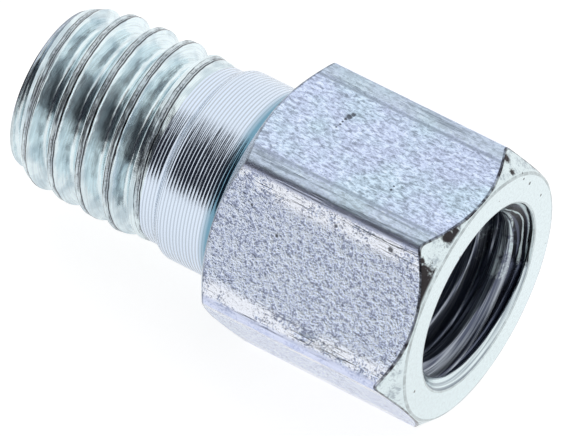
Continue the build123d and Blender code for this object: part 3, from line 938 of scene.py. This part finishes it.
def dark_hole(look):
    """Steel in the tapped hole, darkened with painted shade, with bright tapping marks round the axis."""
    material, tree, place = new_material("shaded_steel_tapped_hole")
    x, y, z = add(tree, "ShaderNodeSeparateXYZ", {0: place}).outputs
    marks = ring_grain(tree, x, y, z, 0.05 * MM, 3.0 * MM, 1.0)
    broad = ring_grain(tree, x, y, z, 0.22 * MM, 5.0 * MM, 2.0)
    marks = add(tree, "ShaderNodeMath", {0: broad, 1: 0.6, 2: marks}, operation="MULTIPLY_ADD")
    lit = add(tree, "ShaderNodeMapRange", {"Value": marks, "From Min": 0.72, "From Max": 0.98})
    # the tap has dragged bright zinc in from the mouth on one side
    smeared = add(tree, "ShaderNodeMapRange", {"Value": marks, "From Min": 0.68, "From Max": 0.84})
    dragged = stain(tree, place, DRAGGED_ZINC, 9.0)
    dragged = add(tree, "ShaderNodeMath", {0: dragged, 1: smeared}, operation="MULTIPLY")
    lit = add(tree, "ShaderNodeMath", {0: lit, 1: dragged}, operation="MAXIMUM")
    crumbs = dark_spots(tree, place, 0.05 * MM, 0.05, 8.0)
    base = layered(tree, look.hole, (lit, look.hole_mark), (dragged, look.faced), (crumbs, look.faced))
    rough = add(tree, "ShaderNodeMapRange", {"Value": dragged, "To Min": 0.36, "To Max": 0.7})
    finish_metal(tree, base, rough, marks, 0.02 * MM)
    return material


def sunk_zinc(look):
    """The countersink: zinc with turning marks round the axis and painted grey shade in streaks along them,
    the hole's painted shade where the tap's groove cuts it, and a painted dark reflection over one side of
    its mouth, with raw metal dragged up in a few arcs."""
    material, tree, place = new_material("zinc_plated_countersink")
    x, y, z = add(tree, "ShaderNodeSeparateXYZ", {0: place}).outputs
    # where the tap's groove cuts into the countersink, it takes the hole's painted shade
    cut = add(tree, "ShaderNodeAttribute", attribute_name="cut").outputs["Fac"]
    rings = ring_grain(tree, x, y, z, 0.06 * MM, 4.0 * MM, 4.0)
    # painted grey shade in streaks round the axis
    shade = add(tree, "ShaderNodeMapRange", {
        "Value": rings, "From Min": 0.38, "From Max": 0.58, "To Min": 0.75, "To Max": 0.0,
    })
    # painted dark reflection over one side of the mouth
    shaded_mouth = stain(tree, place, PAINTED_MOUTH_SHADE, 7.0)
    streaky = add(tree, "ShaderNodeMapRange", {
        "Value": rings, "From Min": 0.5, "From Max": 0.56, "To Min": 1.0, "To Max": 0.2,
    })
    # the painted dark reflection, broken up by the streaks
    torn = add(tree, "ShaderNodeMath", {0: shaded_mouth, 1: streaky}, operation="MULTIPLY")
    # the arcs are 0.15 mm apart and wander a little
    wander = ring_grain(tree, x, y, z, 0.2 * MM, 2.0 * MM, 9.0)
    wander = add(tree, "ShaderNodeMath", {0: wander, 1: 12.0}, operation="MULTIPLY")
    phase = add(tree, "ShaderNodeMath", {
        0: x, 1: 2 * math.pi / (0.15 * MM), 2: wander,
    }, operation="MULTIPLY_ADD")
    arcs = add(tree, "ShaderNodeMath", {0: phase}, operation="SINE")
    arcs = add(tree, "ShaderNodeMapRange", {"Value": arcs, "From Min": 0.45, "From Max": 0.95})
    arcs = add(tree, "ShaderNodeMath", {0: shaded_mouth, 1: arcs}, operation="MULTIPLY")
    base = layered(
        # painted grey shade, the hole's painted shade in the groove, and the painted dark reflection on the
        # mouth
        tree, look.faced, (shade, look.drawn_shade), (cut, look.hole), (torn, look.torn), (arcs, look.faced),
        # painted shade along the broken edges
        (shaded_edge(tree, place), look.fold),
    )
    rough = add(tree, "ShaderNodeMapRange", {"Value": arcs, "To Min": 0.25, "To Max": 0.7})
    finish_metal(tree, base, rough, rings, 0.008 * MM)
    return material


# ---------------------------------------------------------------- the studio

def paper_floor(settings):
    """A wide sheet of white paper under the part. It is white to the camera and in the metal, and still
    takes the part's shadow."""
    mesh = bpy.data.meshes.new("paper")
    half = PAPER_HALF_WIDTH
    level = LOW.z - PAPER_GAP
    corners = [(-half, -half, level), (half, -half, level), (half, half, level), (-half, half, level)]
    mesh.from_pydata(corners, [], [(0, 1, 2, 3)])
    floor = bpy.data.objects.new("paper", mesh)
    bpy.context.scene.collection.objects.link(floor)
    material = bpy.data.materials.new("white_paper")
    material.use_nodes = True
    tree = material.node_tree
    tree.nodes.clear()
    path = add(tree, "ShaderNodeLightPath").outputs
    seen = path["Is Camera Ray"]
    mirrored = add(tree, "ShaderNodeMath", {
        0: path["Is Glossy Ray"], 1: path["Is Transmission Ray"],
    }, operation="MAXIMUM")
    glow = add(tree, "ShaderNodeMath", {0: mirrored, 1: MIRRORED_GLOW}, operation="MULTIPLY")
    glow = add(tree, "ShaderNodeMath", {0: seen, 1: SEEN_GLOW, 2: glow}, operation="MULTIPLY_ADD")
    both = add(tree, "ShaderNodeAddShader", {
        0: add(tree, "ShaderNodeBsdfDiffuse", {"Color": (*settings.paper, 1.0)}),
        1: add(tree, "ShaderNodeEmission", {"Strength": glow}),
    })
    add(tree, "ShaderNodeOutputMaterial", {"Surface": both})
    mesh.materials.append(material)


def tent_light(settings):
    """A white tent with an opening at the front, above the table, that shows a dark room."""
    world = bpy.data.worlds.new("tent")
    bpy.context.scene.world = world
    world.use_nodes = True
    tree = world.node_tree
    tree.nodes.clear()
    way = add(tree, "ShaderNodeTexCoord").outputs["Generated"]
    x, y, z = add(tree, "ShaderNodeSeparateXYZ", {0: way}).outputs
    # the height of a direction around the X axis: 0 at the front, a quarter turn overhead
    forward = add(tree, "ShaderNodeMath", {0: y, 1: -1.0}, operation="MULTIPLY")
    height = add(tree, "ShaderNodeMath", {0: z, 1: forward}, operation="ARCTAN2")
    # its lower and upper edges come down towards the right
    lower = add(tree, "ShaderNodeMath", {0: x, 1: math.radians(15), 2: height}, operation="MULTIPLY_ADD")
    upper = add(tree, "ShaderNodeMath", {0: x, 1: math.radians(38), 2: height}, operation="MULTIPLY_ADD")
    path = add(tree, "ShaderNodeLightPath").outputs
    # the camera sees the white tent alone
    opening = add(tree, "ShaderNodeMath", {0: 1.0, 1: path["Is Camera Ray"]}, operation="SUBTRACT")
    # each edge of the opening: its measure, where it is closed, and where it is fully open
    for measure, closed, fully_open in (
        (lower, math.radians(5), math.radians(11)),
        (upper, math.radians(83), math.radians(69)),
        (x, -0.78, -0.68),
        (x, 0.74, 0.62),
    ):
        edge = add(tree, "ShaderNodeMapRange", {
            "Value": measure, "From Min": closed, "From Max": fully_open,
        }, interpolation_type="SMOOTHSTEP")
        opening = add(tree, "ShaderNodeMath", {0: opening, 1: edge}, operation="MULTIPLY")
    light = layered(tree, settings.tent, (opening, settings.room))
    add(tree, "ShaderNodeOutputWorld", {"Surface": add(tree, "ShaderNodeBackground", {"Color": light})})


def place_camera(settings):
    """A long lens at the front, above the tapped end."""
    back = Vector(CAMERA_BACK).normalized()
    up = back.cross(Vector(CAMERA_RIGHT).normalized())
    right = up.cross(back)
    camera_data = bpy.data.cameras.new("camera")
    camera_data.lens = settings.focal_length
    camera_data.sensor_width = SENSOR_WIDTH
    camera = bpy.data.objects.new("camera", camera_data)
    turn = Matrix((right, up, back)).transposed().to_4x4()
    camera.matrix_world = Matrix.Translation(Vector(CAMERA_PLACE) * MM) @ turn
    bpy.context.scene.collection.objects.link(camera)
    bpy.context.scene.camera = camera
    bpy.context.scene.view_settings.view_transform = "Standard"


# ---------------------------------------------------------------- operators

class FITTING_OT_turn_body(bpy.types.Operator):
    """Turn the body from drawn bar, without its threads"""

    bl_idname = "fitting.turn_body"
    bl_label = "Turn Body"

    def execute(self, context):
        scene = context.scene
        look, threads = scene.extension_plating, scene.extension_threads
        mesh = build_body(scene.extension_body, threads)
        hole = dark_hole(look)
        for material in (
            drawn_zinc(look), turned_zinc(look), faced_zinc(look), rolled_zinc(look, threads), hole, hole,
            sunk_zinc(look),
        ):
            mesh.materials.append(material)
        scene.collection.objects.link(bpy.data.objects.new("extension_body", mesh))
        return {"FINISHED"}


class FITTING_OT_roll_thread(bpy.types.Operator):
    """Roll the male thread on the blank"""

    bl_idname = "fitting.roll_thread"
    bl_label = "Roll Male Thread"

    def execute(self, context):
        sizes, threads = context.scene.extension_body, context.scene.extension_threads
        runout_end = -sizes.neck_length - sizes.neck_step - sizes.plain_blank
        full_end = runout_end - sizes.runout
        groove_end = TIP_X + threads.full_turns * threads.pitch
        root = sizes.crest - threads.depth + (groove_end - full_end) * sizes.taper
        piece = bpy.data.objects["extension_body"]
        cut_thread(piece, {
            "Marked": "rolled", "Side": 1.0, "Pitch": threads.pitch,
            "First Groove": TIP_X - threads.first_groove * threads.pitch,
            "Root Radius": root, "Taper": sizes.taper,
            "Runout Start": groove_end, "Runout End": runout_end + threads.fade,
            "Runout Rise": sizes.blank - root,
            "Root Rounding": threads.root, "Crest Rounding": threads.crest_round,
            "Seam": threads.seam, "Seam Width": threads.seam_width,
            "Ragged": threads.ragged, "Grain": threads.ragged_grain, "Seed": 7.0,
            "Material Slot": ROLLED, "Material": piece.data.materials[ROLLED],
        })
        return {"FINISHED"}


class FITTING_OT_tap_hole(bpy.types.Operator):
    """Tap the female thread in the hole"""

    bl_idname = "fitting.tap_hole"
    bl_label = "Tap Hole"

    def execute(self, context):
        sizes, threads = context.scene.extension_body, context.scene.extension_threads
        groove_start = END_X - sizes.tapped_depth + threads.untapped
        piece = bpy.data.objects["extension_body"]
        # with this rounding the flanks start at the two sides of the root's flat
        rounding = threads.tapped_root_flat * math.sqrt(3) / 2
        cut_thread(piece, {
            "Marked": "tapped", "Side": -1.0, "Pitch": threads.pitch,
            "First Groove": groove_start - threads.tap_turn * threads.pitch,
            "Root Radius": threads.tapped_root, "Taper": 0.0,
            "Runout Start": groove_start + threads.pitch, "Runout End": groove_start,
            "Runout Rise": CORE_RADIUS - threads.tapped_root - threads.tap_gap,
            "Root Rounding": rounding, "Crest Rounding": threads.tapped_crest_round,
            "Seam": 0.0, "Seam Width": threads.seam_width,
            "Ragged": 0.0, "Grain": threads.ragged_grain, "Seed": 9.0,
            "Material Slot": TAPPED, "Material": piece.data.materials[TAPPED],
        })
        return {"FINISHED"}


class FITTING_OT_fit_body(bpy.types.Operator):
    """Put the finished mesh in the place of the solid"""

    bl_idname = "fitting.fit_body"
    bl_label = "Fit Body"

    def execute(self, context):
        piece = bpy.data.objects["extension_body"]
        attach(piece, "root")
        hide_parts("body")
        return {"FINISHED"}


class FITTING_OT_set_studio(bpy.types.Operator):
    """Lay the paper, light the tent and place the camera"""

    bl_idname = "fitting.set_studio"
    bl_label = "Set Studio"

    def execute(self, context):
        settings = context.scene.extension_studio
        paper_floor(settings)
        tent_light(settings)
        place_camera(settings)
        return {"FINISHED"}


class FITTING_PT_extension(bpy.types.Panel):
    """Lists the sizes, colours and steps"""

    bl_label = "Grease Nipple Extension"
    bl_space_type = "VIEW_3D"
    bl_region_type = "UI"
    bl_category = "Fitting"

    def draw(self, context):
        for group, _ in GROUPS:
            settings = getattr(context.scene, group)
            box = self.layout.box()
            for name in settings.bl_rna.properties.keys():
                if name not in ("rna_type", "name"):
                    box.prop(settings, name)
        for operator in OPERATORS:
            self.layout.operator(operator.bl_idname)


GROUPS = (
    ("extension_body", BodySizes),
    ("extension_threads", ThreadSizes),
    ("extension_plating", PlatingLook),
    ("extension_studio", StudioSettings),
)
OPERATORS = (
    FITTING_OT_turn_body,
    FITTING_OT_roll_thread,
    FITTING_OT_tap_hole,
    FITTING_OT_fit_body,
    FITTING_OT_set_studio,
)


def register():
    """Registers the property groups, the operators and the panel."""
    for name, group in GROUPS:
        bpy.utils.register_class(group)
        setattr(bpy.types.Scene, name, bpy.props.PointerProperty(type=group))
    for cls in (*OPERATORS, FITTING_PT_extension):
        bpy.utils.register_class(cls)


def unregister():
    """Takes them away again."""
    for cls in (FITTING_PT_extension, *reversed(OPERATORS)):
        bpy.utils.unregister_class(cls)
    for name, group in reversed(GROUPS):
        delattr(bpy.types.Scene, name)
        bpy.utils.unregister_class(group)


def main():
    """Makes the whole part and its studio."""
    register()
    bpy.ops.fitting.turn_body()
    bpy.ops.fitting.roll_thread()
    bpy.ops.fitting.tap_hole()
    bpy.ops.fitting.fit_body()
    bpy.ops.fitting.set_studio()


if __name__ == "__main__":
    main()
